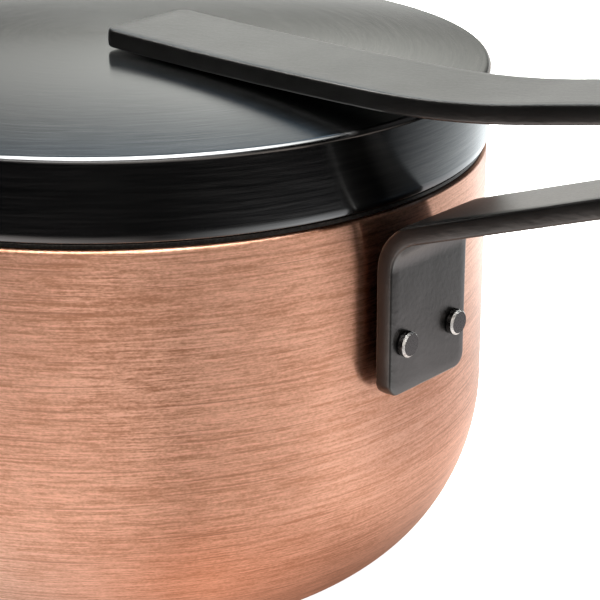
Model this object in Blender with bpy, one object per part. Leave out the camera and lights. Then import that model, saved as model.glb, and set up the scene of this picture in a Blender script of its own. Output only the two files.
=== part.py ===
"""A 16 cm copper pan with a flat bar handle, and a lift-off lid that carries a like handle.

The origin is at the centre of the underside, +Z is up and both handles point along +X.
"""

import math

import bmesh
import bpy
from mathutils import Matrix, Vector

# Driving dimensions, in metres
GAP = 0.0003
PAN_RADIUS = 0.0796
PAN_CURVE_WIDTH = 0.0332
PAN_CURVE_TOP = 0.0408
COPPER_THICKNESS = 0.0016
COPPER_TOP = 0.0934
COPPER_FOOT = 0.0005
COPPER_EDGE = 0.0006

LINING_THICKNESS = 0.0006
RIM_BAND = 0.0009
RIM_SETBACK = 0.0006
RIM_EDGE = 0.0003

FOOT_RING = 0.0009
BASE_THICKNESS = 0.0020
BASE_EDGE = 0.0004

LID_OVERHANG = 0.0004
LID_THICKNESS = 0.0012
LID_EDGE = 0.0013
SKIRT_HEIGHT = 0.0162
SKIRT_CHAMFER = 0.0003
DOME_RISE = 0.0042

RING_THICKNESS = 0.0012
RING_DROP = 0.0062
RING_SHOULDER = 0.0018
RING_HEIGHT = 0.0090

BAR_WIDTH = 0.0245
BAR_THICKNESS = 0.0040
BAR_CORNER = 0.0030
BAR_EDGE = 0.0005
HANDLE_REACH = 0.2290
HANDLE_SPACING = 0.0068

PLATE_CLEARANCE = 0.0007
PLATE_DROP = 0.0361
PLATE_HEIGHT = 0.0258
PLATE_BEND_RADIUS = 0.0091
PAN_HANDLE_EASE_RADIUS = 0.120

LID_HANDLE_TIP = 0.0086
LID_HANDLE_LIFT = 0.0006
LID_HANDLE_DIP_RADIUS = 1.350
LID_HANDLE_FLAT = 0.002
LID_HANDLE_BEND_RADIUS = 0.200

RIVET_RISE = 0.0107
RIVET_SPACING = 0.0158
RIVET_SHANK_RADIUS = 0.0015
RIVET_HEAD_RADIUS = 0.0026
RIVET_HEAD_HEIGHT = 0.0014
RIVET_CHAMFER = 0.0004
RIVET_INNER_HEAD_RADIUS = 0.0040
RIVET_INNER_HEAD_HEIGHT = 0.0013

SCREW_FROM_TIP = 0.0114
SCREW_SPACING = 0.0200
SCREW_SHANK_RADIUS = 0.0018
SCREW_DEPTH = 0.0020
SCREW_HEAD_RADIUS = 0.0036
SCREW_HEAD_HEIGHT = 0.0022
SCREW_HEAD_EDGE = 0.0008
SCREW_RECESS_RADIUS = 0.0016
SCREW_RECESS_DEPTH = 0.0012
WASHER_RADIUS = 0.0048
WASHER_THICKNESS = 0.0008

# Slopes of the handles, in degrees
PAN_HANDLE_RISE = 18.7
LID_HANDLE_DIP = 2.7
LID_HANDLE_RISE = 10.1

# Fineness of the curves
SHELL_STEPS = 64
SMALL_STEPS = 20
CURVE_STEPS = 8
DOME_STEPS = 5
CORNER_STEPS = 2
LEAST_BEND_STEPS = 3
DEGREES_PER_STEP = 9
SHARP_ANGLE = math.radians(35)
BEVEL_ANGLE = math.radians(50)

# Fits that follow from them
BASE_RADIUS = PAN_RADIUS - PAN_CURVE_WIDTH - FOOT_RING - GAP
RIM_TOP = COPPER_TOP + GAP + RIM_BAND
LINING_OUTSIDE = COPPER_THICKNESS + GAP
LINING_INSIDE = LINING_OUTSIDE + LINING_THICKNESS
SKIRT_BOTTOM = RIM_TOP + GAP
LID_RADIUS = PAN_RADIUS + LID_OVERHANG
LID_RIM_TOP = SKIRT_BOTTOM + SKIRT_HEIGHT
PLATE_BACK = PAN_RADIUS + PLATE_CLEARANCE
PLATE_FRONT = PLATE_BACK + BAR_THICKNESS
PLATE_FOOT = COPPER_TOP - PLATE_DROP
RIVET_HEIGHT = PLATE_FOOT + RIVET_RISE


def clear_scene():
    for item in list(bpy.data.objects):
        bpy.data.objects.remove(item)


def make_material(name, colour, metallic, roughness):
    material = bpy.data.materials.new(name)
    material.use_nodes = True
    surface = material.node_tree.nodes["Principled BSDF"]
    surface.inputs["Base Color"].default_value = (*colour, 1)
    surface.inputs["Metallic"].default_value = metallic
    surface.inputs["Roughness"].default_value = roughness
    return material


def add_object(name, shape, material):
    """An object from a bmesh, smooth but for its sharp edges."""
    bmesh.ops.recalc_face_normals(shape, faces=shape.faces)
    mesh = bpy.data.meshes.new(name)
    shape.to_mesh(mesh)
    shape.free()
    mesh.shade_smooth()
    mesh.set_sharp_from_angle(angle=SHARP_ANGLE)
    if material:
        mesh.materials.append(material)
    thing = bpy.data.objects.new(name, mesh)
    bpy.context.collection.objects.link(thing)
    return thing


def arc(centre, radii, start, end, steps):
    """Points of (radius, height) on an ellipse about centre, from one angle to another in degrees."""
    angles = [math.radians(start + (end - start) * i / steps) for i in range(steps + 1)]
    return [
        (centre[0] + radii[0] * math.cos(angle), centre[1] + radii[1] * math.sin(angle))
        for angle in angles
    ]


def turned(name, profile, material, steps=SMALL_STEPS):
    """A body turned about Z from a closed outline of (radius, height), which may lie on the axis."""
    shape = bmesh.new()
    corners = [shape.verts.new((radius, 0, height)) for radius, height in profile]
    pairs = zip(corners, corners[1:] + corners[:1])
    edges = [shape.edges.new(pair) for pair in pairs if max(pair[0].co.x, pair[1].co.x) > 0]
    bmesh.ops.spin(
        shape,
        geom=corners + edges,
        axis=(0, 0, 1),
        cent=(0, 0, 0),
        angle=math.tau,
        steps=steps,
        use_merge=True,
    )
    bmesh.ops.remove_doubles(shape, verts=shape.verts, dist=1e-7)
    return add_object(name, shape, material)


def lay(thing, place, axis="Z"):
    """Moves a turned body to its place, with its own +Z along Z or X."""
    turn = Matrix.Rotation(math.pi / 2, 4, "Y") if axis == "X" else Matrix.Identity(4)
    thing.matrix_world = Matrix.Translation(place) @ turn


def cut(thing, radius, start, end, place, axis="Z"):
    """Cuts a round hole between two distances along an axis through a place."""
    cutter = turned(f"{thing.name}_cutter", [(0, end), (radius, end), (radius, start), (0, start)], None)
    cutter.hide_render = True
    cutter.display_type = "WIRE"
    lay(cutter, place, axis)
    hole = thing.modifiers.new("hole", "BOOLEAN")
    hole.operation = "DIFFERENCE"
    hole.solver = "EXACT"
    hole.object = cutter


# The pan's skins
def floor_height(inset):
    """Height of the floor over the base plate, for a skin this far above the copper's underside."""
    return BASE_THICKNESS + GAP + inset


def wall_curve(inset, bottom):
    """The curve from the straight wall to the floor, for a skin this far inside the outer face."""
    centre = (PAN_RADIUS - PAN_CURVE_WIDTH, PAN_CURVE_TOP)
    return arc(centre, (PAN_CURVE_WIDTH - inset, PAN_CURVE_TOP - bottom), 0, -90, CURVE_STEPS)


def skin_from_floor(inset, top):
    """The inner face of a skin, from the axis out along the floor and up the wall to its top."""
    floor = floor_height(inset)
    return [(0, floor)] + wall_curve(inset, floor)[::-1] + [(PAN_RADIUS - inset, top)]


def make_copper_shell(material):
    recess = BASE_RADIUS + GAP
    edge_centre = (PAN_RADIUS - COPPER_EDGE, COPPER_TOP - COPPER_EDGE)
    profile = arc(edge_centre, (COPPER_EDGE, COPPER_EDGE), 90, 0, 3)
    profile += wall_curve(0, COPPER_FOOT)
    profile += [(recess, COPPER_FOOT), (recess, floor_height(0)), (0, floor_height(0))]
    profile += skin_from_floor(COPPER_THICKNESS, COPPER_TOP)
    return turned("copper_shell", profile, material, SHELL_STEPS)


def make_steel_lining(material):
    """The inner skin, whose rim turns out over the copper's top edge."""
    rim_radius = PAN_RADIUS - RIM_SETBACK
    flange_underside = COPPER_TOP + GAP
    profile = arc((rim_radius - RIM_EDGE, RIM_TOP - RIM_EDGE), (RIM_EDGE, RIM_EDGE), 90, 0, 2)
    profile.append((rim_radius, flange_underside))
    profile += skin_from_floor(LINING_OUTSIDE, flange_underside)[::-1]
    profile += skin_from_floor(LINING_INSIDE, RIM_TOP)
    return turned("steel_lining", profile, material, SHELL_STEPS)


def make_base_plate(material):
    profile = [(0, BASE_THICKNESS), (BASE_RADIUS, BASE_THICKNESS), (BASE_RADIUS, BASE_EDGE)]
    profile += [(BASE_RADIUS - BASE_EDGE, 0), (0, 0)]
    return turned("base_plate", profile, material, SHELL_STEPS)


# The lid
def dome_height(radius):
    """Height of the lid's outer face at a distance from its axis."""
    edge = LID_RADIUS - LID_EDGE
    return LID_RIM_TOP + DOME_RISE * (1 - (radius / edge) ** 2)


def make_lid_cover(material):
    edge = LID_RADIUS - LID_EDGE
    inner_radius = LID_RADIUS - LID_THICKNESS
    inner_top = LID_RIM_TOP - LID_THICKNESS
    radii = [edge * i / DOME_STEPS for i in range(DOME_STEPS)]
    profile = [(radius, dome_height(radius)) for radius in radii]
    profile += arc((edge, LID_RIM_TOP - LID_EDGE), (LID_EDGE, LID_EDGE), 90, 0, 4)
    profile += [(LID_RADIUS, SKIRT_BOTTOM + SKIRT_CHAMFER), (LID_RADIUS - SKIRT_CHAMFER, SKIRT_BOTTOM)]
    profile += [(inner_radius, SKIRT_BOTTOM), (inner_radius, inner_top - SKIRT_CHAMFER)]
    profile.append((inner_radius - SKIRT_CHAMFER, inner_top))
    profile += [(radius, dome_height(radius) - LID_THICKNESS) for radius in radii[::-1]]
    return turned("lid_cover", profile, material, SHELL_STEPS)


def make_locating_ring(material):
    """A stepped ring inside the skirt, whose lower part drops into the pan."""
    outer = LID_RADIUS - LID_THICKNESS - GAP
    guide = PAN_RADIUS - LINING_INSIDE - GAP
    inner = guide - RING_THICKNESS
    top = SKIRT_BOTTOM + RING_HEIGHT
    shoulder = SKIRT_BOTTOM + RING_SHOULDER
    foot = SKIRT_BOTTOM - RING_DROP
    profile = [(outer, top), (outer, shoulder), (guide, shoulder), (guide, foot), (inner, foot)]
    profile += [(inner, shoulder + RING_THICKNESS), (outer - RING_THICKNESS, shoulder + RING_THICKNESS)]
    profile.append((outer - RING_THICKNESS, top))
    return turned("lid_locating_ring", profile, material, SHELL_STEPS)


# The bar handles
def follow(start, heading, legs):
    """Stations of (distance, place, heading) along a bent bar in the XZ plane.

    Each leg is a length and no turn, or a radius and a turn. Headings and turns are in degrees,
    measured upwards from +X.
    """
    distance = 0
    place = Vector(start)
    stations = [(distance, place.copy(), heading)]
    for size, turn in legs:
        steps = max(LEAST_BEND_STEPS, math.ceil(abs(turn) / DEGREES_PER_STEP)) if turn else 1
        half = math.radians(turn / steps / 2)
        step_length = 2 * size * abs(half) if turn else size
        chord = 2 * size * math.sin(abs(half)) if turn else size
        for _ in range(steps):
            middle = math.radians(heading) + half
            place += chord * Vector((math.cos(middle), 0, math.sin(middle)))
            heading += turn / steps
            distance += step_length
            stations.append((distance, place.copy(), heading))
    return stations


def corner_legs():
    """The steps through a rounded corner, from the bar's end inwards."""
    depths = [BAR_CORNER * (1 - math.cos(math.pi / 2 * i / CORNER_STEPS)) for i in range(CORNER_STEPS + 1)]
    return [(after - before, 0) for before, after in zip(depths, depths[1:])]


def reach_legs(place, heading):
    """The last straight of a handle, out to the reach that both handles share."""
    length = (HANDLE_REACH - place.x) / math.cos(math.radians(heading))
    return [(length - BAR_CORNER, 0)] + corner_legs()[::-1]


def half_width(distance, length):
    """Half the bar's width, which falls off round its corners."""
    from_end = min(distance, length - distance, BAR_CORNER)
    return BAR_WIDTH / 2 - BAR_CORNER + math.sqrt(BAR_CORNER**2 - (BAR_CORNER - from_end) ** 2)


def bar(name, stations, material):
    """A flat bar through its stations, with rounded corners at both ends and eased edges."""
    length = stations[-1][0]
    shape = bmesh.new()
    sections = []
    for distance, place, heading in stations:
        angle = math.radians(heading)
        thick = Vector((-math.sin(angle), 0, math.cos(angle))) * BAR_THICKNESS / 2
        across = Vector((0, half_width(distance, length), 0))
        corners = (across + thick, thick - across, -across - thick, across - thick)
        sections.append([shape.verts.new(place + corner) for corner in corners])
    for before, after in zip(sections, sections[1:]):
        for i in range(4):
            shape.faces.new((before[i], before[i - 1], after[i - 1], after[i]))
    shape.faces.new(sections[0])
    shape.faces.new(sections[-1][::-1])
    thing = add_object(name, shape, material)
    bevel = thing.modifiers.new("eased_edges", "BEVEL")
    bevel.width = BAR_EDGE
    bevel.segments = 2
    bevel.limit_method = "ANGLE"
    bevel.angle_limit = BEVEL_ANGLE
    return thing


def lid_handle_stations():
    """From its tip near the lid's centre, along the dome, level over the rim and up to the reach."""
    start = (LID_HANDLE_TIP, 0, dome_height(LID_HANDLE_TIP) + LID_HANDLE_LIFT + BAR_THICKNESS / 2)
    legs = corner_legs() + [(LID_HANDLE_DIP_RADIUS, LID_HANDLE_DIP), (LID_HANDLE_FLAT, 0)]
    legs.append((LID_HANDLE_BEND_RADIUS, LID_HANDLE_RISE))
    bend_end = follow(start, -LID_HANDLE_DIP, legs)[-1]
    return follow(start, -LID_HANDLE_DIP, legs + reach_legs(*bend_end[1:]))


def pan_handle_stations():
    """From the plate's foot, up and out, then eased to lie evenly under the lid's handle."""
    start = (PLATE_BACK + BAR_THICKNESS / 2, 0, PLATE_FOOT)
    legs = corner_legs() + [(PLATE_HEIGHT - BAR_CORNER, 0), (PLATE_BEND_RADIUS, PAN_HANDLE_RISE - 90)]
    bend_end = follow(start, 90, legs)[-1][1]
    slope = math.radians(LID_HANDLE_RISE)
    across = Vector((-math.sin(slope), 0, math.cos(slope)))
    distance_below = (lid_handle_stations()[-1][1] - bend_end).dot(across) - BAR_THICKNESS - HANDLE_SPACING
    closing = math.radians(PAN_HANDLE_RISE - LID_HANDLE_RISE)
    run = (distance_below - PAN_HANDLE_EASE_RADIUS * (1 - math.cos(closing))) / math.sin(closing)
    legs += [(run, 0), (PAN_HANDLE_EASE_RADIUS, LID_HANDLE_RISE - PAN_HANDLE_RISE)]
    ease_end = follow(start, 90, legs)[-1]
    return follow(start, 90, legs + reach_legs(*ease_end[1:]))


def underside_at(stations, x):
    """Height of a bar's lower face where it passes a distance from the axis."""
    for (_, before, _), (_, after, _) in zip(stations, stations[1:]):
        if before.x <= x <= after.x:
            middle = before.lerp(after, (x - before.x) / (after.x - before.x))
            run = (after - before).normalized()
            return middle.z - BAR_THICKNESS / 2 / run.x
    return stations[0][1].z - BAR_THICKNESS / 2


# The fasteners
def make_rivet(name, side, material):
    """A rivet along X through the plate and the pan's wall, with a pin-like head outside."""
    face = PLATE_FRONT + GAP
    head_end = face + RIVET_HEAD_HEIGHT
    head_edge = abs(side) + RIVET_INNER_HEAD_RADIUS
    inner_face = math.sqrt((PAN_RADIUS - LINING_INSIDE) ** 2 - head_edge**2) - GAP
    profile = [(0, head_end), (RIVET_HEAD_RADIUS - RIVET_CHAMFER, head_end)]
    profile += [(RIVET_HEAD_RADIUS, head_end - RIVET_CHAMFER), (RIVET_HEAD_RADIUS, face)]
    profile += [(RIVET_SHANK_RADIUS, face), (RIVET_SHANK_RADIUS, inner_face)]
    dome = arc((0, inner_face), (RIVET_INNER_HEAD_RADIUS, RIVET_INNER_HEAD_HEIGHT), 0, -90, 4)
    profile += dome[:-1] + [(0, inner_face - RIVET_INNER_HEAD_HEIGHT)]
    rivet = turned(name, profile, material)
    lay(rivet, (0, side, RIVET_HEIGHT), "X")


def make_screw(name, distance, lid_underside, tip_height, material):
    """A round-headed screw from inside the lid up into its handle, with a plain round recess."""
    head_top = lid_underside - WASHER_THICKNESS - 2 * GAP
    head_bottom = head_top - SCREW_HEAD_HEIGHT
    recess_top = head_bottom + SCREW_RECESS_DEPTH
    profile = [(0, tip_height), (SCREW_SHANK_RADIUS, tip_height), (SCREW_SHANK_RADIUS, head_top)]
    profile += [(SCREW_HEAD_RADIUS, head_top), (SCREW_HEAD_RADIUS, head_bottom + SCREW_HEAD_EDGE)]
    profile += [(SCREW_HEAD_RADIUS - SCREW_HEAD_EDGE, head_bottom), (SCREW_RECESS_RADIUS, head_bottom)]
    profile += [(SCREW_RECESS_RADIUS, recess_top), (0, recess_top)]
    screw = turned(name, profile, material)
    lay(screw, (distance, 0, 0))


def make_washer(name, distance, lid_underside, material):
    top = lid_underside - GAP
    bottom = top - WASHER_THICKNESS
    hole = SCREW_SHANK_RADIUS + GAP
    profile = [(WASHER_RADIUS, top), (WASHER_RADIUS, bottom), (hole, bottom), (hole, top)]
    washer = turned(name, profile, material)
    lay(washer, (distance, 0, 0))


def main():
    clear_scene()
    copper = make_material("satin_copper", (0.75, 0.42, 0.30), 1, 0.35)
    steel = make_material("brushed_steel", (0.55, 0.54, 0.52), 1, 0.35)
    dark_steel = make_material("darkened_steel", (0.08, 0.078, 0.076), 1, 0.4)
    black_steel = make_material("brushed_black_steel", (0.12, 0.12, 0.125), 1, 0.22)
    black_coating = make_material("satin_black_coating", (0.10, 0.097, 0.095), 1, 0.35)

    shell = make_copper_shell(copper)
    lining = make_steel_lining(dark_steel)
    make_base_plate(steel)
    pan_handle = bar("pan_handle", pan_handle_stations(), black_coating)
    for number, side in enumerate((-RIVET_SPACING / 2, RIVET_SPACING / 2), 1):
        make_rivet(f"rivet_{number}", side, dark_steel)
        for thing in (shell, lining, pan_handle):
            hole_end = PLATE_FRONT + BAR_THICKNESS
            cut(thing, RIVET_SHANK_RADIUS + GAP, PAN_RADIUS / 2, hole_end, (0, side, RIVET_HEIGHT), "X")

    cover = make_lid_cover(black_steel)
    make_locating_ring(steel)
    stations = lid_handle_stations()
    lid_handle = bar("lid_handle", stations, black_coating)
    for number in (1, 2):
        distance = LID_HANDLE_TIP + SCREW_FROM_TIP + (number - 1) * SCREW_SPACING
        lid_underside = dome_height(distance + WASHER_RADIUS) - LID_THICKNESS
        thread_end = underside_at(stations, distance) + SCREW_DEPTH
        make_washer(f"lid_washer_{number}", distance, lid_underside, steel)
        make_screw(f"lid_screw_{number}", distance, lid_underside, thread_end, steel)
        for thing in (cover, lid_handle):
            cut(thing, SCREW_SHANK_RADIUS + GAP, SKIRT_BOTTOM, thread_end + GAP, (distance, 0, 0))


main()
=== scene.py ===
"""The looks of a lidded copper pan with two flat bar handles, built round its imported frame."""

import math

import bmesh
import bpy
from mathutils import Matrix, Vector


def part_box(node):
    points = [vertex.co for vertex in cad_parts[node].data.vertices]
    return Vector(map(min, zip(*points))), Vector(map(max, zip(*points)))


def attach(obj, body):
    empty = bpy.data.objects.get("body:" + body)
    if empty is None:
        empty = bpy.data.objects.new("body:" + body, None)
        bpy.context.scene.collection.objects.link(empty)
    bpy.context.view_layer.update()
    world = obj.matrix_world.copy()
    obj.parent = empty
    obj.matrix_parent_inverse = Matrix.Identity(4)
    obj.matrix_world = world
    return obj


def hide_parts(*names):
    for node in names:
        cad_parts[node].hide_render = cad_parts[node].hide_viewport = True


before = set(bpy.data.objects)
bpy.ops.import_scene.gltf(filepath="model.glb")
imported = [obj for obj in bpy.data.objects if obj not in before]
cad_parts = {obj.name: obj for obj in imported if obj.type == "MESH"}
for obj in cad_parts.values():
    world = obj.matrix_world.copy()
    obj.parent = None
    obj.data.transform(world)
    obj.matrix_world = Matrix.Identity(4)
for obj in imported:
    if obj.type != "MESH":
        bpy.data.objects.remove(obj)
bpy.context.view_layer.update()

# What the frame gives, in metres
SHELL_LOW, SHELL_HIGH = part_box("copper_shell")
_, LINING_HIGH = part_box("steel_lining")
_, BASE_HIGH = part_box("base_plate")
COVER_LOW, COVER_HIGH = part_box("lid_cover")
RING_LOW, RING_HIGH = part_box("lid_locating_ring")
PLATE_LOW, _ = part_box("pan_handle")
_, LID_BAR_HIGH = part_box("lid_handle")
RIVET_LOW, RIVET_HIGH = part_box("rivet_1")

PAN_RADIUS = SHELL_HIGH.x
COPPER_TOP = SHELL_HIGH.z
COPPER_FOOT = SHELL_LOW.z
RIM_RADIUS = LINING_HIGH.x
RIM_TOP = LINING_HIGH.z
BASE_RADIUS = BASE_HIGH.x
BASE_THICKNESS = BASE_HIGH.z
LID_RADIUS = COVER_HIGH.y
SKIRT_BOTTOM = COVER_LOW.z
DOME_TOP = COVER_HIGH.z
PLATE_FOOT = PLATE_LOW.z
PLATE_BACK = PLATE_LOW.x
BAR_WIDTH = 2 * LID_BAR_HIGH.y
RIVET_INNER_RADIUS = (RIVET_HIGH.y - RIVET_LOW.y) / 2

# The gap between pieces that touch
GAP = 0.0003

# The pan's skins
PAN_CURVE_WIDTH = 0.0332
PAN_CURVE_TOP = 0.0408
COPPER_THICKNESS = 0.0016
COPPER_EDGE = 0.0006
LINING_THICKNESS = 0.0006
RIM_EDGE = 0.0003
BASE_EDGE = 0.0004

# The lid
LID_THICKNESS = 0.0012
LID_EDGE = 0.0013
SKIRT_HEIGHT = 0.0162
SKIRT_CHAMFER = 0.0003
SKIRT_TURN_HEIGHT = 0.0019
SKIRT_TURN = math.radians(9)
RING_THICKNESS = 0.0012
RING_SHOULDER = 0.0018

# The bar handles, which end just inside the solids they replace
HANDLE_REACH = 0.2286
LID_HANDLE_TIP = 0.0086
BAR_THICKNESS = 0.0040
BAR_CORNER = 0.0030
BAR_EDGE = 0.0008
BAR_EDGE_ANGLE = math.radians(50)
BAR_CROWN = 0.00012
BAR_SHOULDER = 0.0024
BAR_SHOULDER_DROP = 0.00022
PLATE_HEIGHT = 0.0258
PLATE_BEND_RADIUS = 0.0091
PAN_HANDLE_EASE_RADIUS = 0.120
HANDLE_SPACING = 0.0068
LID_HANDLE_LIFT = 0.0006
LID_HANDLE_DIP_RADIUS = 1.350
LID_HANDLE_FLAT = 0.002
LID_HANDLE_BEND_RADIUS = 0.200

# Slopes in degrees
STRAIGHT_UP = 90
PAN_HANDLE_RISE = 18.7
LID_HANDLE_DIP = 2.7
LID_HANDLE_RISE = 10.1

# The fasteners
RIVET_SHANK_RADIUS = 0.0015
RIVET_HEAD_RADIUS = 0.0026
RIVET_HEAD_HEIGHT = 0.0014
RIVET_CHAMFER = 0.0004
RIVET_END_FACING = 0.95
RIVET_INNER_HEAD_HEIGHT = 0.0013
SCREW_SHANK_RADIUS = 0.0018
SCREW_HEAD_RADIUS = 0.0036
SCREW_HEAD_EDGE = 0.0008
SCREW_RECESS_RADIUS = 0.0016
SCREW_RECESS_DEPTH = 0.0012

# Fineness
ROUND_STEPS = 256
SMALL_STEPS = 64
CURVE_STEPS = 40
EDGE_STEPS = 10
BAR_SIDE_STEPS = 6
BAR_SHOULDER_STEPS = 5
BAR_EDGE_STEPS = 4
PATH_STEP = 0.001
BLANK_STEP = 0.0006
WELD = 0.00001
SHARP_ANGLE = math.radians(35)
FACE_WEIGHT = 100

# Fits that follow from them
LINING_OUTSIDE = COPPER_THICKNESS + GAP
LINING_INSIDE = LINING_OUTSIDE + LINING_THICKNESS
LID_RIM_TOP = SKIRT_BOTTOM + SKIRT_HEIGHT
DOME_RISE = DOME_TOP - LID_RIM_TOP
RIVET_HOLE_RADIUS = RIVET_SHANK_RADIUS + GAP
RIVET_DRILL_START = PAN_RADIUS / 2
RIVET_DRILL_END = PAN_RADIUS * 1.2
SCREW_HOLE_RADIUS = SCREW_SHANK_RADIUS + GAP

# How a turned piece lies, turned about X, Y and Z
UPRIGHT = (0.0, 0.0, 0.0)
LAID_OUTWARD = (0.0, math.pi / 2, 0.0)

# A mix node's colour sockets
MIX_FIRST = 6
MIX_SECOND = 7
MIX_RESULT = 2

# Directions, and the part of a place that is level
ASIDE = (0, 1, 0)
UPWARD = (0, 0, 1)
LEVEL = (1, 1, 0)

# The darkest and palest colour of each finish
COPPER_TONES = ((0.64, 0.303, 0.186), (1.0, 0.565, 0.405))
COPPER_SCRATCH = (0.52, 0.23, 0.14)
BLACK_STEEL_TONES = ((0.103, 0.106, 0.110), (0.143, 0.144, 0.145))
STEEL_TONES = ((0.42, 0.41, 0.39), (0.60, 0.59, 0.57))
LINING_TONES = ((0.045, 0.042, 0.040), (0.085, 0.080, 0.076))
BAR_TONES = ((0.108, 0.105, 0.102), (0.138, 0.134, 0.131))
RIVET_TONES = ((0.085, 0.080, 0.080), (0.125, 0.120, 0.120))
# The rivets' chamfers are made pale as a painted highlight
CHAMFER_HIGHLIGHT_TONES = ((0.55, 0.54, 0.53), (0.95, 0.94, 0.92))
WHITE = (1, 1, 1, 1)


# Nodes
def connect(tree, node, values):
    """Sets a node's inputs, and links those that are given as sockets."""
    for key, value in values.items():
        if isinstance(value, bpy.types.NodeSocket):
            tree.links.new(value, node.inputs[key])
        else:
            node.inputs[key].default_value = value


def add(tree, kind, values=None, **settings):
    """A new node with its settings and its inputs' values."""
    made = tree.nodes.new(kind)
    for name, setting in settings.items():
        setattr(made, name, setting)
    connect(tree, made, values or {})
    return made


def calculate(tree, operation, *values):
    return add(tree, "ShaderNodeMath", dict(enumerate(values)), operation=operation).outputs[0]


def calculate_vector(tree, operation, *values):
    return add(tree, "ShaderNodeVectorMath", dict(enumerate(values)), operation=operation).outputs[0]


def scale_vector(tree, vector, factor):
    return add(tree, "ShaderNodeVectorMath", {0: vector, "Scale": factor}, operation="SCALE").outputs[0]


def length_of(tree, vector):
    return add(tree, "ShaderNodeVectorMath", {0: vector}, operation="LENGTH").outputs["Value"]


def split_place(tree, place):
    return add(tree, "ShaderNodeSeparateXYZ", {0: place}).outputs


def object_place(tree):
    return add(tree, "ShaderNodeTexCoord").outputs["Object"]


def noise(tree, place, scale, detail, roughness=0.5):
    values = {"Vector": place, "Scale": scale, "Detail": detail, "Roughness": roughness}
    return add(tree, "ShaderNodeTexNoise", values).outputs[0]


def spread(tree, value, span, result=(0, 1)):
    """A value's span stretched to another, held at its ends."""
    ends = {"From Min": span[0], "From Max": span[1], "To Min": result[0], "To Max": result[1]}
    return add(tree, "ShaderNodeMapRange", {"Value": value, **ends}).outputs[0]


def blend(tree, share, first, second):
    """A colour between two, each given as three numbers or as a socket."""
    ends = [end if isinstance(end, bpy.types.NodeSocket) else (*end, 1) for end in (first, second)]
    values = {"Factor": share, MIX_FIRST: ends[0], MIX_SECOND: ends[1]}
    return add(tree, "ShaderNodeMix", values, data_type="RGBA").outputs[MIX_RESULT]


def weigh(tree, parts):
    """The sum of values, each times its weight."""
    total = 0.0
    for value, weight in parts:
        total = calculate(tree, "MULTIPLY_ADD", value, weight, total)
    return total


def bump(tree, height, distance):
    values = {"Height": height, "Distance": distance, "Strength": 1.0}
    return add(tree, "ShaderNodeBump", values).outputs[0]


# Finishes
def new_material(name):
    material = bpy.data.materials.new(name)
    material.use_nodes = True
    tree = material.node_tree
    return material, tree, tree.nodes["Principled BSDF"]


def round_place(tree, rise):
    """The direction from the axis, and the distance across the brushing, on a turned piece.

    rise is 1 where the piece's outline climbs as it widens, and -1 where it falls.
    """
    place = object_place(tree)
    flat = calculate_vector(tree, "MULTIPLY", place, LEVEL)
    outward = calculate_vector(tree, "NORMALIZE", flat)
    across = calculate(tree, "MULTIPLY_ADD", split_place(tree, place)["Z"], rise, length_of(tree, flat))
    return outward, across


def streaks(tree, brushing, length, width, detail=2, shift=0):
    """Noise drawn out in circles round the axis, in streaks of a length and width in metres.

    Layers with different shifts don't repeat each other.
    """
    outward, across = brushing
    along = scale_vector(tree, outward, PAN_RADIUS / length)
    layer = calculate(tree, "MULTIPLY_ADD", across, 1 / width, shift)
    lift = add(tree, "ShaderNodeCombineXYZ", {"Z": layer}).outputs[0]
    return noise(tree, calculate_vector(tree, "ADD", along, lift), scale=1, detail=detail, roughness=0.6)


def round_highlights(tree, brushing, strength):
    """The shader's values that draw highlights out across circular brushing."""
    tangent = calculate_vector(tree, "CROSS_PRODUCT", UPWARD, brushing[0])
    return {"Anisotropic": strength, "Anisotropic Rotation": 0.25, "Tangent": tangent}


def satin_copper():
    """Copper brushed in circles: streaks and fine grain, with dark scratches and broad patches."""
    material, tree, surface = new_material("satin_copper")
    brushing = round_place(tree, rise=1)
    long_streaks = streaks(tree, brushing, length=0.018, width=0.00050, detail=1)
    fine_streaks = streaks(tree, brushing, length=0.005, width=0.00036, detail=1, shift=40)
    grain = streaks(tree, brushing, length=0.0008, width=0.00034, detail=1, shift=60)
    scratches = streaks(tree, brushing, length=0.030, width=0.00042, detail=0, shift=90)
    patches = streaks(tree, brushing, length=0.040, width=0.008, shift=150)
    lines = weigh(tree, [(long_streaks, 0.34), (fine_streaks, 0.36), (grain, 0.30)])
    tone = weigh(tree, [(lines, 0.85), (patches, 0.15)])
    colour = blend(tree, spread(tree, tone, (0.40, 0.60)), *COPPER_TONES)
    dark_lines = spread(tree, scratches, (0.20, 0.32), (0.60, 0))
    sockets = {
        "Base Color": blend(tree, dark_lines, colour, COPPER_SCRATCH),
        "Metallic": 1.0,
        "Roughness": spread(tree, fine_streaks, (0.3, 0.7), (0.28, 0.33)),
        "Normal": bump(tree, lines, distance=0.00005),
    }
    connect(tree, surface, sockets | round_highlights(tree, brushing, 1.0))
    return material


def brushed_black_steel():
    """The lid's black steel, brushed in circles and nearly polished."""
    material, tree, surface = new_material("brushed_black_steel")
    brushing = round_place(tree, rise=-1)
    long_streaks = streaks(tree, brushing, length=0.030, width=0.00050, detail=1)
    fine_streaks = streaks(tree, brushing, length=0.008, width=0.00034, detail=1, shift=40)
    tone = weigh(tree, [(long_streaks, 0.5), (fine_streaks, 0.5)])
    sockets = {
        "Base Color": blend(tree, spread(tree, tone, (0.36, 0.64)), *BLACK_STEEL_TONES),
        "Metallic": 1.0,
        "Roughness": spread(tree, tone, (0.35, 0.65), (0.15, 0.19)),
        "Normal": bump(tree, tone, distance=0.000012),
    }
    connect(tree, surface, sockets | round_highlights(tree, brushing, 0.65))
    return material


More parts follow.
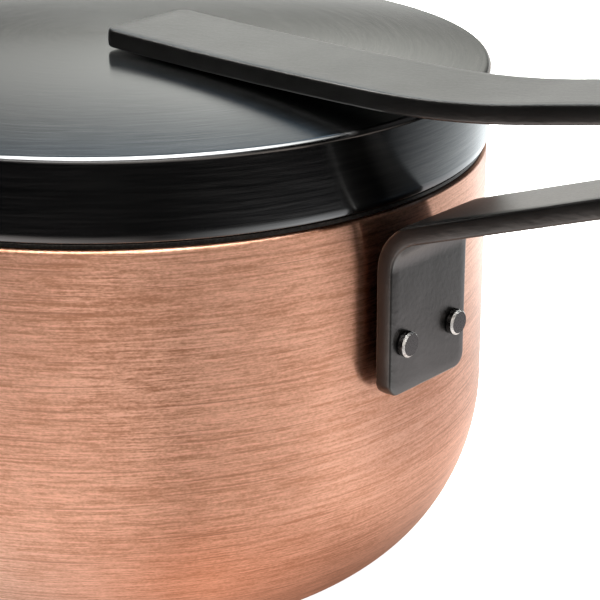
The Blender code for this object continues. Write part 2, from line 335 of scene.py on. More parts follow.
def brushed_steel():
    """The bare steel of the base plate, the ring and the lid's fixings."""
    material, tree, surface = new_material("brushed_steel")
    brushing = round_place(tree, rise=1)
    long_streaks = streaks(tree, brushing, length=0.020, width=0.00030)
    fine_streaks = streaks(tree, brushing, length=0.006, width=0.00016, shift=40)
    tone = weigh(tree, [(long_streaks, 0.6), (fine_streaks, 0.4)])
    sockets = {
        "Base Color": blend(tree, spread(tree, tone, (0.35, 0.65)), *STEEL_TONES),
        "Metallic": 1.0,
        "Roughness": spread(tree, tone, (0.35, 0.65), (0.26, 0.38)),
        "Normal": bump(tree, tone, distance=0.00001),
    }
    connect(tree, surface, sockets | round_highlights(tree, brushing, 0.5))
    return material


def dark_lining():
    """The lining's dark finish, faintly speckled, over circular turning lines."""
    material, tree, surface = new_material("dark_lining")
    turning_lines = streaks(tree, round_place(tree, rise=1), length=0.040, width=0.0005)
    speckle = noise(tree, object_place(tree), scale=2400, detail=2)
    relief = weigh(tree, [(speckle, 0.5), (turning_lines, 0.5)])
    sockets = {
        "Base Color": blend(tree, spread(tree, speckle, (0.45, 0.75)), *LINING_TONES),
        "Metallic": 1.0,
        "Roughness": spread(tree, speckle, (0.3, 0.7), (0.36, 0.46)),
        "Normal": bump(tree, relief, distance=0.00002),
    }
    connect(tree, surface, sockets)
    return material


def satin_black():
    """The bar handles' blackened finish, with a fine grain drawn out along the bar."""
    material, tree, surface = new_material("satin_black")
    place = object_place(tree)
    drawn = calculate_vector(tree, "MULTIPLY", place, (0.55, 1, 1))
    grain = noise(tree, drawn, scale=2600, detail=2)
    waves = noise(tree, drawn, scale=900, detail=2)
    clouds = noise(tree, place, scale=90, detail=3)
    relief = weigh(tree, [(grain, 0.2), (waves, 0.8)])
    sockets = {
        "Base Color": blend(tree, spread(tree, clouds, (0.3, 0.7)), *BAR_TONES),
        "Metallic": 1.0,
        "Roughness": spread(tree, grain, (0.3, 0.7), (0.275, 0.32)),
        "Normal": bump(tree, relief, distance=0.00005),
    }
    connect(tree, surface, sockets)
    return material


def darkened_steel():
    """The rivets' dark steel, finely grained."""
    material, tree, surface = new_material("darkened_steel")
    grain = noise(tree, object_place(tree), scale=3000, detail=2)
    sockets = {
        "Base Color": blend(tree, spread(tree, grain, (0.3, 0.7)), *RIVET_TONES),
        "Metallic": 1.0,
        "Roughness": spread(tree, grain, (0.3, 0.7), (0.24, 0.34)),
        "Normal": bump(tree, grain, distance=0.00001),
    }
    connect(tree, surface, sockets)
    return material


def chamfer_highlight_steel():
    """The rivets' chamfers, made pale and mottled so that they carry a painted highlight."""
    material, tree, surface = new_material("chamfer_highlight_steel")
    highlight_mottle = noise(tree, object_place(tree), scale=1800, detail=2)
    sockets = {
        "Base Color": blend(tree, spread(tree, highlight_mottle, (0.3, 0.6)), *CHAMFER_HIGHLIGHT_TONES),
        "Metallic": 1.0,
        "Roughness": spread(tree, highlight_mottle, (0.3, 0.7), (0.40, 0.55)),
    }
    connect(tree, surface, sockets)
    return material


# Outlines and helpers
def arc(centre, radii, start, end, steps):
    """Points of (radius, height) on an ellipse about centre, from one angle to another in degrees."""
    angles = [math.radians(start + (end - start) * i / steps) for i in range(steps + 1)]
    return [
        (centre[0] + radii[0] * math.cos(angle), centre[1] + radii[1] * math.sin(angle))
        for angle in angles
    ]


def put_in_scene(name, data):
    thing = bpy.data.objects.new(name, data)
    bpy.context.scene.collection.objects.link(thing)
    return thing


def helper(name, points, edges):
    """An object that holds only points and edges, for a node tree to read."""
    mesh = bpy.data.meshes.new(name)
    mesh.from_pydata(points, edges, [])
    return put_in_scene(name, mesh)


def chain(count):
    """The edges that join so many points in a row."""
    return [(i, i + 1) for i in range(count - 1)]


def outline(name, profile):
    """An outline of (radius, height) in the XZ plane, closed unless it begins and ends on the axis."""
    edges = chain(len(profile))
    if profile[0][0] > 0 or profile[-1][0] > 0:
        edges.append((len(profile) - 1, 0))
    return helper(name, [(radius, 0, height) for radius, height in profile], edges)


def geometry_tree(name, inputs):
    """A geometry node tree with the named inputs, and the sockets that they come in by."""
    tree = bpy.data.node_groups.new(name, "GeometryNodeTree")
    tree.interface.new_socket("Geometry", in_out="INPUT", socket_type="NodeSocketGeometry")
    for label, kind in inputs.items():
        tree.interface.new_socket(label, in_out="INPUT", socket_type=f"NodeSocket{kind}")
    tree.interface.new_socket("Material", in_out="INPUT", socket_type="NodeSocketMaterial")
    tree.interface.new_socket("Geometry", in_out="OUTPUT", socket_type="NodeSocketGeometry")
    return tree, add(tree, "NodeGroupInput").outputs


def end_tree(tree, given, shape):
    """Ends a tree in real geometry of the given material."""
    real = add(tree, "GeometryNodeRealizeInstances", {0: shape}).outputs[0]
    painted = add(tree, "GeometryNodeSetMaterial", {0: real, "Material": given["Material"]}).outputs[0]
    add(tree, "NodeGroupOutput", {0: painted})
    return tree


def turning_tree():
    """Turns an outline about its Z axis, at each point of the geometry it is given.

    The outline is swept round a ring of radius 1, so it is first moved in by 1.
    """
    tree, given = geometry_tree(
        "turning", {"Outline": "Object", "Steps": "Int", "Lay": "Rotation", "Weld": "Float"}
    )
    profile = add(tree, "GeometryNodeObjectInfo", {"Object": given["Outline"]}).outputs["Geometry"]
    split = split_place(tree, add(tree, "GeometryNodeInputPosition").outputs[0])
    from_ring = calculate(tree, "SUBTRACT", split["X"], 1)
    down = calculate(tree, "MULTIPLY", split["Z"], -1)
    section_place = add(tree, "ShaderNodeCombineXYZ", {"X": from_ring, "Y": down}).outputs[0]
    section = add(tree, "GeometryNodeSetPosition", {0: profile, "Position": section_place}).outputs[0]
    section_line = add(tree, "GeometryNodeMeshToCurve", {0: section}).outputs[0]
    ring = add(tree, "GeometryNodeCurvePrimitiveCircle", {"Radius": 1, "Resolution": given["Steps"]})
    level = add(tree, "GeometryNodeSetCurveNormal", {0: ring.outputs[0]}, mode="Z_UP").outputs[0]
    swept = add(tree, "GeometryNodeCurveToMesh", {"Curve": level, "Profile Curve": section_line}).outputs[0]
    closed = add(tree, "GeometryNodeMergeByDistance", {0: swept, "Distance": given["Weld"]}).outputs[0]
    copies = add(
        tree,
        "GeometryNodeInstanceOnPoints",
        {"Points": given["Geometry"], "Instance": closed, "Rotation": given["Lay"]},
    ).outputs[0]
    return end_tree(tree, given, copies)


def bending_tree():
    """Bends a flat blank, which lies along X from the origin, along a path in the XZ plane."""
    tree, given = geometry_tree("bending", {"Path": "Object"})
    route = add(tree, "GeometryNodeObjectInfo", {"Object": given["Path"]}).outputs["Geometry"]
    line = add(tree, "GeometryNodeMeshToCurve", {0: route}).outputs[0]
    split = split_place(tree, add(tree, "GeometryNodeInputPosition").outputs[0])
    on_path = add(
        tree, "GeometryNodeSampleCurve", {"Curves": line, "Length": split["X"]}, mode="LENGTH"
    ).outputs
    square = calculate_vector(tree, "CROSS_PRODUCT", on_path["Tangent"], ASIDE)
    lifted = scale_vector(tree, calculate_vector(tree, "NORMALIZE", square), split["Z"])
    aside = add(tree, "ShaderNodeCombineXYZ", {"Y": split["Y"]}).outputs[0]
    offset = calculate_vector(tree, "ADD", lifted, aside)
    bent = calculate_vector(tree, "ADD", on_path["Position"], offset)
    moved = add(tree, "GeometryNodeSetPosition", {0: given["Geometry"], "Position": bent}).outputs[0]
    return end_tree(tree, given, moved)


TURNING = turning_tree()
BENDING = bending_tree()


def run_tree(thing, tree, values):
    """Gives a helper the tree as a modifier, with its inputs set by their identifiers."""
    modifier = thing.modifiers.new(tree.name, "NODES")
    modifier.node_group = tree
    for item in tree.interface.items_tree:
        if item.in_out == "INPUT" and item.name in values:
            modifier[item.identifier] = values[item.name]


def bore(thing, cutters):
    for cutter in cutters:
        hole = thing.modifiers.new("hole", "BOOLEAN")
        hole.operation = "DIFFERENCE"
        hole.solver = "EXACT"
        hole.object = cutter


def evaluated_mesh(thing):
    """A plain mesh of what a helper's modifiers make."""
    bpy.context.view_layer.update()
    graph = bpy.context.evaluated_depsgraph_get()
    return bpy.data.meshes.new_from_object(thing.evaluated_get(graph), depsgraph=graph)


def finish_piece(name, source, body, nodes):
    """A plain mesh from a helper's evaluated shape, riding on its body in place of CAD nodes."""
    mesh = evaluated_mesh(source)
    bpy.data.objects.remove(source)
    solid = bmesh.new()
    solid.from_mesh(mesh)
    bmesh.ops.recalc_face_normals(solid, faces=solid.faces)
    solid.to_mesh(mesh)
    solid.free()
    mesh.name = name
    mesh.shade_smooth()
    mesh.set_sharp_from_angle(angle=SHARP_ANGLE)
    piece = put_in_scene(name, mesh)
    even = piece.modifiers.new("even_normals", "WEIGHTED_NORMAL")
    even.weight = FACE_WEIGHT
    even.keep_sharp = True
    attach(piece, body)
    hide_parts(*nodes)
    return piece


def turned(
    name,
    profile,
    material,
    body,
    nodes,
    places=((0, 0, 0),),
    steps=ROUND_STEPS,
    lay=UPRIGHT,
    cutters=(),
):
    """A turned piece, or several alike at their places, with any holes cut."""
    line = outline(f"{name}_outline", profile)
    spots = helper(f"{name}_places", places, [])
    values = {"Outline": line, "Steps": steps, "Lay": lay, "Weld": WELD, "Material": material}
    run_tree(spots, TURNING, values)
    bore(spots, cutters)
    piece = finish_piece(name, spots, body, nodes)
    bpy.data.objects.remove(line)
    return piece


def drill(name, radius, start, end, places, lay=UPRIGHT):
    """A cutter: round bars along Z, or laid over, at their places."""
    line = outline(f"{name}_outline", [(0, end), (radius, end), (radius, start), (0, start)])
    spots = helper(name, places, [])
    run_tree(spots, TURNING, {"Outline": line, "Steps": SMALL_STEPS, "Lay": lay, "Weld": WELD})
    mesh = evaluated_mesh(spots)
    spots.modifiers.clear()
    spots.data = mesh
    bpy.data.objects.remove(line)
    return spots


# The pan's skins
def floor_height(inset):
    return BASE_THICKNESS + GAP + inset


def wall_curve(inset, bottom):
    """The wall's rounded foot, an inset in from the copper's outside, from its top to its bottom."""
    centre = (PAN_RADIUS - PAN_CURVE_WIDTH, PAN_CURVE_TOP)
    return arc(centre, (PAN_CURVE_WIDTH - inset, PAN_CURVE_TOP - bottom), 0, -90, CURVE_STEPS)


def skin_from_floor(inset, top):
    """One side of a skin, from the middle of the pan's floor out and up to the top."""
    floor = floor_height(inset)
    return [(0, floor)] + wall_curve(inset, floor)[::-1] + [(PAN_RADIUS - inset, top)]


def copper_profile():
    recess = BASE_RADIUS + GAP
    edge_centre = (PAN_RADIUS - COPPER_EDGE, COPPER_TOP - COPPER_EDGE)
    inside = skin_from_floor(COPPER_THICKNESS, COPPER_TOP)
    outside = [(recess, floor_height(0)), (recess, COPPER_FOOT)] + wall_curve(0, COPPER_FOOT)[::-1]
    edge = arc(edge_centre, (COPPER_EDGE, COPPER_EDGE), 0, 90, EDGE_STEPS)
    return [(0, floor_height(0))] + outside + edge + inside[::-1]


def lining_profile():
    underside = COPPER_TOP + GAP
    edge = arc((RIM_RADIUS - RIM_EDGE, RIM_TOP - RIM_EDGE), (RIM_EDGE, RIM_EDGE), 0, 90, EDGE_STEPS)
    inside = skin_from_floor(LINING_INSIDE, RIM_TOP)
    return skin_from_floor(LINING_OUTSIDE, underside) + [(RIM_RADIUS, underside)] + edge + inside[::-1]


def base_profile():
    edge = [(BASE_RADIUS - BASE_EDGE, 0), (BASE_RADIUS, BASE_EDGE)]
    return [(0, 0)] + edge + [(BASE_RADIUS, BASE_THICKNESS), (0, BASE_THICKNESS)]


# The lid
def dome_height(radius):
    edge = LID_RADIUS - LID_EDGE
    return LID_RIM_TOP + DOME_RISE * (1 - (radius / edge) ** 2)


def lid_profile():
    """From the dome's underside, down inside the skirt and up its outside, back over the dome."""
    edge = LID_RADIUS - LID_EDGE
    inner = LID_RADIUS - LID_THICKNESS
    inner_top = LID_RIM_TOP - LID_THICKNESS
    radii = [edge * i / CURVE_STEPS for i in range(CURVE_STEPS)]
    turned_in = SKIRT_TURN_HEIGHT * math.tan(SKIRT_TURN)
    foot = LID_RADIUS - turned_in
    inside = [(radius, dome_height(radius) - LID_THICKNESS) for radius in radii]
    inside += [(inner - SKIRT_CHAMFER, inner_top), (inner, inner_top - SKIRT_CHAMFER)]
    inside += [(inner, SKIRT_BOTTOM + SKIRT_CHAMFER), (inner - turned_in, SKIRT_BOTTOM)]
    skirt = [(foot - SKIRT_CHAMFER, SKIRT_BOTTOM), (foot, SKIRT_BOTTOM + SKIRT_CHAMFER)]
    skirt.append((LID_RADIUS, SKIRT_BOTTOM + SKIRT_TURN_HEIGHT))
    skirt += arc((edge, LID_RIM_TOP - LID_EDGE), (LID_EDGE, LID_EDGE), 0, 90, EDGE_STEPS)
    dome = [(radius, dome_height(radius)) for radius in radii]
    return inside + skirt + dome[::-1]


def ring_profile():
    """A ring that fits inside the skirt, steps in at its shoulder and drops into the pan."""
    outer = RING_HIGH.x
    guide = PAN_RADIUS - LINING_INSIDE - GAP
    inner = guide - RING_THICKNESS
    top = RING_HIGH.z
    foot = RING_LOW.z
    shoulder = SKIRT_BOTTOM + RING_SHOULDER
    profile = [(outer - RING_THICKNESS, top), (outer - RING_THICKNESS, shoulder + RING_THICKNESS)]
    profile += [(inner, shoulder + RING_THICKNESS), (inner, foot), (guide, foot), (guide, shoulder)]
    return profile + [(outer, shoulder), (outer, top)]


# The bar handles
def follow(start, heading, legs):
    """Stations of (place, heading) along a bent bar in the XZ plane.

    A leg is a length with no turn, or the radius of a bend and its turn in degrees.
    """
    place = Vector(start)
    stations = [(place.copy(), heading)]
    for size, turn in legs:
        length = abs(size * math.radians(turn)) if turn else size
        steps = max(1, math.ceil(length / PATH_STEP), math.ceil(abs(turn)))
        half = math.radians(turn / steps / 2)
        chord = 2 * size * math.sin(abs(half)) if turn else size / steps
        for _ in range(steps):
            middle = math.radians(heading) + half
            place += chord * Vector((math.cos(middle), 0, math.sin(middle)))
            heading += turn / steps
            stations.append((place.copy(), heading))
    return stations


def reach_leg(place, heading):
    """The straight leg from a station to the handles' far end."""
    return [((HANDLE_REACH - place.x) / math.cos(math.radians(heading)), 0)]


def lid_handle_path():
    start = (LID_HANDLE_TIP, 0, dome_height(LID_HANDLE_TIP) + LID_HANDLE_LIFT + BAR_THICKNESS / 2)
    legs = [(BAR_CORNER, 0), (LID_HANDLE_DIP_RADIUS, LID_HANDLE_DIP), (LID_HANDLE_FLAT, 0)]
    legs.append((LID_HANDLE_BEND_RADIUS, LID_HANDLE_RISE))
    bend_end = follow(start, -LID_HANDLE_DIP, legs)[-1]
    return follow(start, -LID_HANDLE_DIP, legs + reach_leg(*bend_end))


def pan_handle_path():
    """Up the plate, over its bend, and out until the bar runs parallel to the lid's handle."""
    start = (PLATE_BACK + BAR_THICKNESS / 2, 0, PLATE_FOOT)
    legs = [(PLATE_HEIGHT, 0), (PLATE_BEND_RADIUS, PAN_HANDLE_RISE - STRAIGHT_UP)]
    bend_end = follow(start, STRAIGHT_UP, legs)[-1][0]
    slope = math.radians(LID_HANDLE_RISE)
    across = Vector((-math.sin(slope), 0, math.cos(slope)))
    below = (lid_handle_path()[-1][0] - bend_end).dot(across) - BAR_THICKNESS - HANDLE_SPACING
    closing = math.radians(PAN_HANDLE_RISE - LID_HANDLE_RISE)
    run = (below - PAN_HANDLE_EASE_RADIUS * (1 - math.cos(closing))) / math.sin(closing)
    legs += [(run, 0), (PAN_HANDLE_EASE_RADIUS, LID_HANDLE_RISE - PAN_HANDLE_RISE)]
    ease_end = follow(start, STRAIGHT_UP, legs)[-1]
    return follow(start, STRAIGHT_UP, legs + reach_leg(*ease_end))


def blank_outline(length, inset):
    """Pairs of (distance, half width) along a flat blank with rounded corners, drawn in by an inset."""
    corner = []
    for i in range(EDGE_STEPS + 1):
        angle = math.pi / 2 * i / EDGE_STEPS
        distance = BAR_CORNER - (BAR_CORNER - inset) * math.cos(angle)
        corner.append((distance, BAR_WIDTH / 2 - BAR_CORNER + (BAR_CORNER - inset) * math.sin(angle)))
    straight = length - 2 * BAR_CORNER
    steps = math.ceil(straight / BLANK_STEP)
    side = BAR_WIDTH / 2 - inset
    middle = [(BAR_CORNER + straight * i / steps, side) for i in range(1, steps)]
    return corner + middle + [(length - distance, half) for distance, half in corner[::-1]]


def bar_section():
    """Pairs of (height, inset) up a bar's side: a soft shoulder, a slightly crowned side, a shoulder."""
    half = BAR_THICKNESS / 2
    side = half - BAR_SHOULDER_DROP
    shoulder = []
    for j in range(BAR_SHOULDER_STEPS):
        out = j / BAR_SHOULDER_STEPS
        shoulder.append((half - BAR_SHOULDER_DROP * out**2, BAR_SHOULDER * (1 - out)))
    heights = [side * (2 * j / BAR_SIDE_STEPS - 1) for j in range(BAR_SIDE_STEPS + 1)]
    middle = [(height, BAR_CROWN * (height / side) ** 2) for height in heights]
    return [(-height, inset) for height, inset in shoulder] + middle + shoulder[::-1]


def flat_blank(name, length):
    """A flat bar along X with rounded corners, crowned sides and soft shoulders."""
    shape = bmesh.new()
    levels = []
    for height, inset in bar_section():
        pairs = blank_outline(length, inset)
        levels.append(
            [[shape.verts.new((x, side * half, height)) for x, half in pairs] for side in (-1, 1)]
        )
    count = len(levels[0][0])
    for lower, upper in zip(levels, levels[1:]):
        for i in range(count - 1):
            shape.faces.new((lower[0][i], lower[0][i + 1], upper[0][i + 1], upper[0][i]))
            shape.faces.new((lower[1][i + 1], lower[1][i], upper[1][i], upper[1][i + 1]))
        shape.faces.new((lower[1][0], lower[0][0], upper[0][0], upper[1][0]))
        shape.faces.new((lower[0][-1], lower[1][-1], upper[1][-1], upper[0][-1]))
    bottom, top = levels[0], levels[-1]
    for i in range(count - 1):
        shape.faces.new((bottom[1][i], bottom[1][i + 1], bottom[0][i + 1], bottom[0][i]))
        shape.faces.new((top[0][i], top[0][i + 1], top[1][i + 1], top[1][i]))
    bmesh.ops.recalc_face_normals(shape, faces=shape.faces)
    mesh = bpy.data.meshes.new(name)
    shape.to_mesh(mesh)
    shape.free()
    return put_in_scene(name, mesh)


def bent_bar(name, stations, material, body, cutters):
    """A handle: its flat blank, with eased edges, bent along its path and drilled."""
    places = [place for place, _ in stations]
    length = sum((after - before).length for before, after in zip(places, places[1:]))
    path = helper(f"{name}_path", places, chain(len(places)))
    blank = flat_blank(f"{name}_blank", length)
    eased = blank.modifiers.new("eased_edges", "BEVEL")
    eased.width = BAR_EDGE
    eased.segments = BAR_EDGE_STEPS
    eased.limit_method = "ANGLE"
    eased.angle_limit = BAR_EDGE_ANGLE
    run_tree(blank, BENDING, {"Path": path, "Material": material})
    bore(blank, cutters)
    finish_piece(f"{name}_bar", blank, body, [name])
    bpy.data.objects.remove(path)


# The fasteners
def middle_of(node):
    low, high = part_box(node)
    return (low + high) / 2


def rivet_profile(length):
    """A rivet along Z from its outer end at 0 inwards to the end of its inner head."""
    inner = -length + RIVET_INNER_HEAD_HEIGHT
    edge = RIVET_HEAD_RADIUS - RIVET_CHAMFER
    head = [(0, 0), (edge, 0), (RIVET_HEAD_RADIUS, -RIVET_CHAMFER)]
    head += [(RIVET_HEAD_RADIUS, -RIVET_HEAD_HEIGHT), (RIVET_SHANK_RADIUS, -RIVET_HEAD_HEIGHT)]
    head += [(RIVET_SHANK_RADIUS, inner), (RIVET_INNER_RADIUS, inner)]
    head += arc((0, inner), (RIVET_INNER_RADIUS, RIVET_INNER_HEAD_HEIGHT), 0, -90, EDGE_STEPS)[1:-1]
    return (head + [(0, -length)])[::-1]


def make_rivets(material, highlight_material):
    """Both rivets as one piece, dark, with chamfers in a pale finish that paints their highlight."""
    nodes = ["rivet_1", "rivet_2"]
    places = [(RIVET_HIGH.x, middle_of(node).y, middle_of(node).z) for node in nodes]
    rivets = turned(
        "rivets",
        rivet_profile(RIVET_HIGH.x - RIVET_LOW.x),
        material,
        "pan",
        nodes,
        places,
        steps=SMALL_STEPS,
        lay=LAID_OUTWARD,
    )
    rivets.data.materials.clear()
    rivets.data.materials.append(material)
    rivets.data.materials.append(highlight_material)
    # The chamfer faces get the pale finish that paints their highlight
    chamfer_start = RIVET_HIGH.x - RIVET_CHAMFER
    for face in rivets.data.polygons:
        end_face = face.normal.x > RIVET_END_FACING
        face.material_index = 1 if face.center.x > chamfer_start and not end_face else 0


def screw_profile(low, high, washer_bottom):
    """A screw along Z from its head's underside at 0 up to the end of its shank."""
    length = high - low
    neck = washer_bottom - GAP - low
    edge_centre = (SCREW_HEAD_RADIUS - SCREW_HEAD_EDGE, SCREW_HEAD_EDGE)
    head = [(SCREW_RECESS_RADIUS, SCREW_RECESS_DEPTH), (SCREW_RECESS_RADIUS, 0)]
    head += arc(edge_centre, (SCREW_HEAD_EDGE, SCREW_HEAD_EDGE), -90, 0, EDGE_STEPS)
    head += [(SCREW_HEAD_RADIUS, neck), (SCREW_SHANK_RADIUS, neck), (SCREW_SHANK_RADIUS, length)]
    return [(0, SCREW_RECESS_DEPTH)] + head + [(0, length)]


def washer_profile(radius, height):
    return [(SCREW_HOLE_RADIUS, height), (SCREW_HOLE_RADIUS, 0), (radius, 0), (radius, height)]


def make_lid_fixings(material):
    for number in (1, 2):
        screw, washer = f"lid_screw_{number}", f"lid_washer_{number}"
        low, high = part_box(screw)
        washer_low, washer_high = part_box(washer)
        middle = middle_of(screw)
        profile = screw_profile(low.z, high.z, washer_low.z)
        spot = [(middle.x, 0, low.z)]
        turned(f"screw_{number}", profile, material, "lid", [screw], spot, steps=SMALL_STEPS)
        profile = washer_profile((washer_high.y - washer_low.y) / 2, washer_high.z - washer_low.z)
        spot = [(middle.x, 0, washer_low.z)]
        turned(f"washer_{number}", profile, material, "lid", [washer], spot, steps=SMALL_STEPS)


def make_pan(copper, lining, steel, black, dark_steel, highlight_steel):
    places = [(0, middle_of(node).y, middle_of(node).z) for node in ("rivet_1", "rivet_2")]
    hole = drill(
        "rivet_drill", RIVET_HOLE_RADIUS, RIVET_DRILL_START, RIVET_DRILL_END, places, LAID_OUTWARD
    )
    turned("copper_shell_skin", copper_profile(), copper, "pan", ["copper_shell"], cutters=[hole])
    turned("lining_skin", lining_profile(), lining, "pan", ["steel_lining"], cutters=[hole])
    turned("base_plate_disc", base_profile(), steel, "pan", ["base_plate"])
    bent_bar("pan_handle", pan_handle_path(), black, "pan", [hole])
    make_rivets(dark_steel, highlight_steel)
    bpy.data.objects.remove(hole)


def make_lid(black_steel, steel, black):
    screws = ["lid_screw_1", "lid_screw_2"]
    places = [(middle_of(node).x, 0, 0) for node in screws]
    top = min(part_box(node)[1].z for node in screws) + GAP
    hole = drill("screw_drill", SCREW_HOLE_RADIUS, SKIRT_BOTTOM, top, places)
    turned("lid_cover_skin", lid_profile(), black_steel, "lid", ["lid_cover"], cutters=[hole])
    turned("lid_ring", ring_profile(), steel, "lid", ["lid_locating_ring"])
    bent_bar("lid_handle", lid_handle_path(), black, "lid", [hole])
    make_lid_fixings(steel)
    bpy.data.objects.remove(hole)


# The studio
FLOOR_SIZE = 12.0
FLOOR_GLOW = 1.0
FLOOR_TONES = ((0.88, 0.88, 0.875), (0.92, 0.92, 0.915))
TENT_RADIUS = 3.0
TENT_STEP = 5
TENT_FOOT = -1
CARD_HOLE_RADIUS = 0.01
CARD_LIFT = 0.0003
HALF_TURN = 180
FULL_TURN = 360

# The camera, aimed to the right of its target and below it
LENS = 124.6
SENSOR_WIDTH = 36
NEAREST_SEEN = 0.01
CAMERA_PLACE = Vector((0.3080, -0.3080, 0.2160))
CAMERA_TARGET = Vector((0, 0, SKIRT_BOTTOM))
CAMERA_PAN = math.radians(4.886)
CAMERA_TILT = math.radians(4.955)

# Each soft light's azimuth and its reach, elevation and its reach, in degrees, and its colour
SOFT_LIGHTS = {
    "overhead": (0, 360, 90, 36, (34, 34, 33)),
    "high_front": (300, 60, 36, 9, (5, 4.8, 4.6)),
    "front": (325, 45, 18, 20, (1.2, 1.1, 1)),
    "high_back": (120, 60, 40, 12, (0.6, 1, 1.4)),
    "backdrop_foot": (130, 50, -1, 11, (2.6, 2.6, 2.5)),
    "backdrop": (124, 34, 20, 13, (1.25, 1.25, 1.15)),
    "backdrop_glow": (131, 12, 23, 8, (1.7, 1.7, 1.6)),
    "backdrop_left": (145, 12, 21, 9, (0.5, 0.5, 0.5)),
    "right_side": (10, 40, 6, 14, (1.9, 1.6, 1.4)),
}

# Each mirrored patch's azimuth and its reach in degrees, radius in metres, reach in doublings, colour
FLOOR_PATCHES = {
    "near_left_floor": (225, 100, 0.09, 0.8, (2, 2.5, 2.8)),
    "near_right_floor": (330, 60, 0.09, 0.8, (1.15, 0.85, 0.7)),
    "near_back_floor": (90, 90, 0.10, 0.8, (2.9, 2.6, 2.4)),
    "right_floor": (5, 40, 0.17, 0.9, (2, 2, 2)),
    "right_back_floor": (45, 40, 0.19, 0.8, (0.8, 0.7, 0.7)),
    "back_floor": (90, 60, 0.30, 1.2, (2.6, 2.75, 2.8)),
    "far_back_floor": (115, 60, 1.10, 1.6, (1.2, 1.1, 1)),
    "front_floor": (280, 50, 0.16, 0.6, (2, 1.8, 1.7)),
}


def add_to_stage(name, points, faces, material):
    mesh = bpy.data.meshes.new(name)
    mesh.from_pydata(points, [], faces)
    mesh.materials.append(material)
    thing = put_in_scene(name, mesh)
    return thing


def make_floor():
    """A pale floor that glows, as a light table does, and so shows no shadow."""
    half = FLOOR_SIZE / 2
    corners = [(-half, -half, 0), (half, -half, 0), (half, half, 0), (-half, half, 0)]
    material, tree, surface = new_material("pale_floor")
    mottle = noise(tree, object_place(tree), scale=30, detail=3)
    sockets = {
        "Base Color": blend(tree, mottle, *FLOOR_TONES),
        "Roughness": 0.9,
        "Specular IOR Level": 0.0,
        "Emission Color": WHITE,
        "Emission Strength": FLOOR_GLOW,
    }
    connect(tree, surface, sockets)
    add_to_stage("floor", corners, [(0, 1, 2, 3)], material)


def studio_place(tree):
    """Azimuth and elevation in degrees, and the radius in doublings of a metre."""
    place = object_place(tree)
    split = split_place(tree, place)
    radius = length_of(tree, calculate_vector(tree, "MULTIPLY", place, LEVEL))
    azimuth = calculate(tree, "DEGREES", calculate(tree, "ARCTAN2", split["Y"], split["X"]))
    elevation = calculate(tree, "DEGREES", calculate(tree, "ARCTAN2", split["Z"], radius))
    return azimuth, elevation, calculate(tree, "LOGARITHM", radius, 2)


def fading(tree, distance, reach):
    """A share that falls evenly with distance, from 1 to nothing at its reach."""
    return spread(tree, calculate(tree, "ABSOLUTE", distance), (0, reach), (1, 0))


def soft_glow(tree, azimuth, height, patches):
    """The light of several soft patches, each of an azimuth and its reach, and a height and its reach."""
    total = (0, 0, 0)
    for middle, reach, level, level_reach, colour in patches:
        share = fading(tree, calculate(tree, "SUBTRACT", height, level), level_reach)
        if reach < HALF_TURN:
            turn = calculate(tree, "SUBTRACT", azimuth, middle)
            aside = calculate(tree, "WRAP", turn, HALF_TURN, -HALF_TURN)
            share = calculate(tree, "MULTIPLY", share, fading(tree, aside, reach))
        total = calculate_vector(tree, "ADD", total, scale_vector(tree, colour, share))
    return add(tree, "ShaderNodeEmission", {"Color": total, "Strength": 1.0}).outputs[0]


def bare_material(name):
    """A material with no shader yet, and the socket that its surface goes to."""
    material, tree, surface = new_material(name)
    tree.nodes.remove(surface)
    return material, tree, tree.nodes["Material Output"].inputs["Surface"]


def around(start, end):
    """Angles from a start to an end, given in degrees, in even steps."""
    count = math.ceil((end - start) / TENT_STEP)
    return [math.radians(start + (end - start) * i / count) for i in range(count + 1)]


def circle_of_points(radius, height):
    return [(radius * math.cos(turn), radius * math.sin(turn), height) for turn in around(0, FULL_TURN)]


def grid_of(rows):
    """The points of equally long rows in one list, and the faces between neighbouring rows."""
    count = len(rows[0])
    faces = [
        (j * count + i, j * count + i + 1, (j + 1) * count + i + 1, (j + 1) * count + i)
        for j in range(len(rows) - 1)
        for i in range(count - 1)
    ]
    return [point for row in rows for point in row], faces


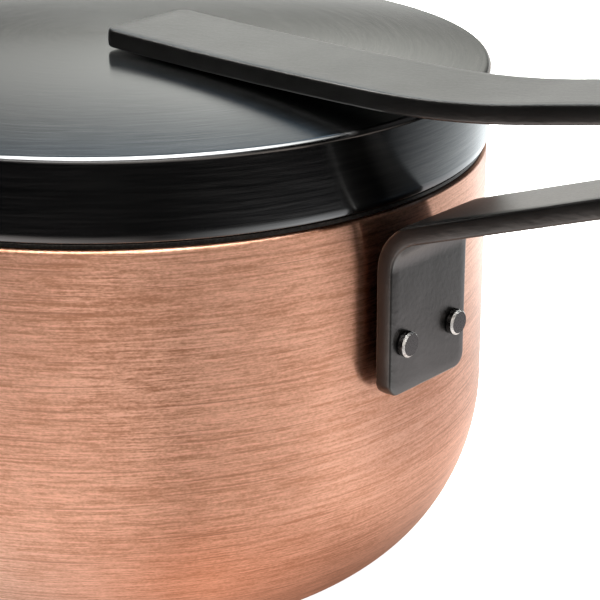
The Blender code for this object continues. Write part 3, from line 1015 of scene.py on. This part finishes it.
def make_light_tent():
    """A half shell round the pan that carries the soft lights, out of the camera's sight."""
    material, tree, output = bare_material("light_tent")
    azimuth, elevation, _ = studio_place(tree)
    tree.links.new(soft_glow(tree, azimuth, elevation, SOFT_LIGHTS.values()), output)
    rows = [
        circle_of_points(TENT_RADIUS * math.cos(rise), TENT_RADIUS * math.sin(rise))
        for rise in around(TENT_FOOT, STRAIGHT_UP)
    ]
    tent = add_to_stage("light_tent", *grid_of(rows), material)
    tent.visible_camera = False


def make_mirrored_floor():
    """A card just over the floor that only mirrors see: pale near the pan and behind it."""
    material, tree, output = bare_material("mirrored_floor")
    azimuth, _, doublings = studio_place(tree)
    patches = [
        (middle, reach, math.log2(radius), radius_reach, colour)
        for middle, reach, radius, radius_reach, colour in FLOOR_PATCHES.values()
    ]
    tree.links.new(soft_glow(tree, azimuth, doublings, patches), output)
    rows = [circle_of_points(radius, CARD_LIFT) for radius in (CARD_HOLE_RADIUS, TENT_RADIUS)]
    card = add_to_stage("mirrored_floor", *grid_of(rows), material)
    card.visible_camera = False
    card.visible_diffuse = False
    card.visible_shadow = False


def make_studio():
    make_floor()
    make_light_tent()
    make_mirrored_floor()
    world = bpy.data.worlds.new("studio")
    world.use_nodes = True
    world.node_tree.nodes["Background"].inputs["Color"].default_value = WHITE
    world.cycles.sampling_method = "NONE"
    bpy.context.scene.world = world
    bpy.context.scene.view_settings.view_transform = "Standard"


def make_camera():
    forward = (CAMERA_TARGET - CAMERA_PLACE).normalized()
    right = forward.cross(Vector(UPWARD)).normalized()
    up = right.cross(forward)
    aim = forward + math.tan(CAMERA_PAN) * right - math.tan(CAMERA_TILT) * up
    lens = bpy.data.cameras.new("camera")
    lens.lens = LENS
    lens.sensor_width = SENSOR_WIDTH
    lens.clip_start = NEAREST_SEEN
    camera = put_in_scene("camera", lens)
    camera.location = CAMERA_PLACE
    camera.rotation_euler = aim.to_track_quat("-Z", "Y").to_euler()
    bpy.context.scene.camera = camera


def main():
    copper = satin_copper()
    black_steel = brushed_black_steel()
    steel = brushed_steel()
    black = satin_black()
    # The last finish paints a highlight on the rivets' chamfers
    make_pan(copper, dark_lining(), steel, black, darkened_steel(), chamfer_highlight_steel())
    make_lid(black_steel, steel, black)
    make_studio()
    make_camera()


main()
